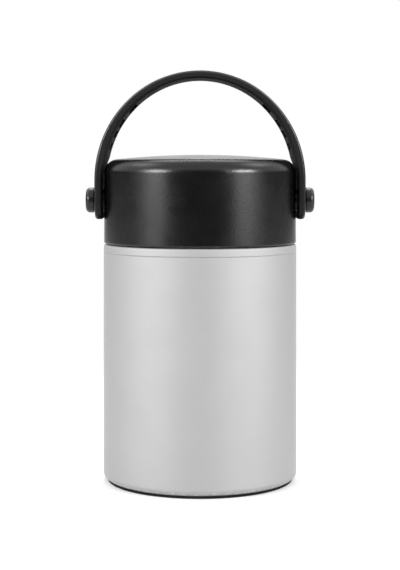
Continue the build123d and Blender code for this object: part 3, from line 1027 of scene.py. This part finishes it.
material = bpy.data.materials.new("pale_floor")
material.use_nodes = True
tree = material.node_tree
tree.nodes.remove(tree.nodes["Principled BSDF"])
output = tree.nodes["Material Output"]
ray = add(tree, "ShaderNodeLightPath").outputs
mirrored = math(tree, "MAXIMUM", ray["Is Glossy Ray"], ray["Is Transmission Ray"])
distance = add(tree, "ShaderNodeVectorMath", {0: own_space(tree)}, operation="LENGTH").outputs["Value"]
seen_glow = remap(tree, distance, near_reach, far_reach, near_glow, far_glow)
seen_white = remap(tree, distance, near_reach, far_reach, near_white, far_white)
weak_glow = math(tree, "MULTIPLY", mirrored, mirrored_glow)
glow = math(tree, "MULTIPLY_ADD", ray["Is Camera Ray"], seen_glow, weak_glow)
whites = {0: ray["Is Camera Ray"], 2: unseen_white, 3: seen_white}
white = add(tree, "ShaderNodeMix", whites, data_type="FLOAT").outputs[0]
paint = add(tree, "ShaderNodeCombineColor", {0: white, 1: white, 2: white}).outputs[0]
paper = add(tree, "ShaderNodeBsdfDiffuse", {"Color": paint}).outputs[0]
shine = add(tree, "ShaderNodeEmission", {"Strength": glow}).outputs[0]
both = add(tree, "ShaderNodeAddShader", {0: paper, 1: shine}).outputs[0]
tree.links.new(both, output.inputs["Surface"])
floor.data.materials.append(material)

# %% Dark card behind the camera
card_distance, card_half, card_top = 1.0, 0.82, 0.6
card_foot, card_lift, card_grey = 0.5, 0.002, 0.05

black_card = bpy.data.materials.new("dark_card")
black_card.use_nodes = True
inputs = black_card.node_tree.nodes["Principled BSDF"].inputs
inputs["Base Color"].default_value = (*grey(card_grey), 1)
inputs["Specular IOR Level"].default_value = 0.0


def unseen(made):
    """A dark sheet that the camera doesn't see, and the jar does."""
    made.visible_camera = False
    made.data.materials.append(black_card)


across = np.linspace(-card_half, card_half, 5)[None, :]
y = np.array([-card_foot, -card_distance, -card_distance])[:, None]
z = np.array([card_lift, card_lift, card_top])[:, None]
unseen(skin("dark_card", np.stack(np.broadcast_arrays(across, y, z), axis=-1)))

# %% Dark curtains at the sides
curtain_reach, curtain_low, curtain_high = 1.3, 0.07, 0.38
curtain_start, curtain_end, curtain_points = np.radians(78), np.radians(152), 25

for word, side in sides.items():
    angle, up = np.meshgrid(np.linspace(curtain_start, curtain_end, curtain_points), [curtain_low, curtain_high])
    curtain = [side * curtain_reach * np.sin(angle), -curtain_reach * np.cos(angle), up]
    unseen(skin("curtain_" + word, np.stack(curtain, axis=-1)))

# %% Soft boxes
aim = Vector((0, 0, 0.12))
lamp_distance = 1.2


def soft_box(name, azimuth, elevation, width, height, radiance):
    """Area lamp that faces the jar. Its power is pi x radiance x area, so it looks as bright as its radiance says."""
    data = bpy.data.lights.new(name, "AREA")
    data.shape, data.size, data.size_y = "RECTANGLE", width, height
    data.energy = np.pi * radiance * width * height
    lamp = bpy.data.objects.new(name, data)
    round_z, up = np.radians(azimuth), np.radians(elevation)
    out = Vector((np.sin(round_z) * np.cos(up), -np.cos(round_z) * np.cos(up), np.sin(up)))
    lamp.location = aim + out * lamp_distance
    lamp.rotation_mode = "QUATERNION"
    lamp.rotation_quaternion = out.to_track_quat("Z", "Y")
    lamp.visible_camera = False
    bpy.context.scene.collection.objects.link(lamp)
    print(name, "radiance", radiance)


# %% Place the soft boxes
for word, side in sides.items():
    soft_box("strip_" + word, azimuth=53 * side, elevation=17, width=0.48, height=0.17, radiance=32.0)
for word, side in sides.items():
    soft_box("soft_box_" + word, azimuth=53 * side, elevation=6, width=0.48, height=0.3, radiance=2.2)
for word, side in sides.items():
    soft_box("soft_box_side_" + word, azimuth=97 * side, elevation=50, width=0.5, height=0.4, radiance=2.5)
soft_box("soft_box_back", azimuth=180, elevation=54, width=0.8, height=0.75, radiance=3.4)
soft_box("bounce_back", azimuth=180, elevation=29, width=1.3, height=0.44, radiance=0.5)

# %% World
white_light, seen_strength, fill_strength = (1, 1, 1, 1), 1.0, 0.5
world = bpy.data.worlds.new("white_room")
bpy.context.scene.world = world
world.use_nodes = True
tree = world.node_tree
ray = add(tree, "ShaderNodeLightPath").outputs
seen = math(tree, "MAXIMUM", ray["Is Glossy Ray"], ray["Is Transmission Ray"])
seen = math(tree, "MAXIMUM", ray["Is Camera Ray"], seen)
backdrop = add(tree, "ShaderNodeBackground", {"Color": white_light, "Strength": seen_strength}).outputs[0]
fill = add(tree, "ShaderNodeBackground", {"Color": white_light, "Strength": fill_strength}).outputs[0]
mixed = add(tree, "ShaderNodeMixShader", {0: seen, 1: fill, 2: backdrop}).outputs[0]
tree.links.new(mixed, tree.nodes["World Output"].inputs["Surface"])
bpy.context.scene.view_settings.view_transform = "Standard"

# %% [markdown]
# ## The camera
# The sides of the jar are upright in the picture, so the camera is level, and a small lens shift frames the jar
# instead of a tilt. The camera is a little above the lid's rim, where the top of the lid shows as a thin band.

# %% Camera
picture_height = 570
focal_px, horizon_px, film_width = 1400, 170, 36
camera_height, camera_distance = 153.75 * mm, 700 * mm

lens = bpy.data.cameras.new("camera")
lens.sensor_width = film_width
lens.lens = focal_px / picture_height * lens.sensor_width
lens.shift_y = (horizon_px - picture_height / 2) / picture_height
lens.clip_start, lens.clip_end = 0.01, 50
camera = bpy.data.objects.new("camera", lens)
camera.location = (0, -camera_distance, camera_height)
camera.rotation_euler = (np.pi / 2, 0, 0)
bpy.context.scene.collection.objects.link(camera)
bpy.context.scene.camera = camera
print("lens", round(lens.lens, 2), "shift", round(lens.shift_y, 4))
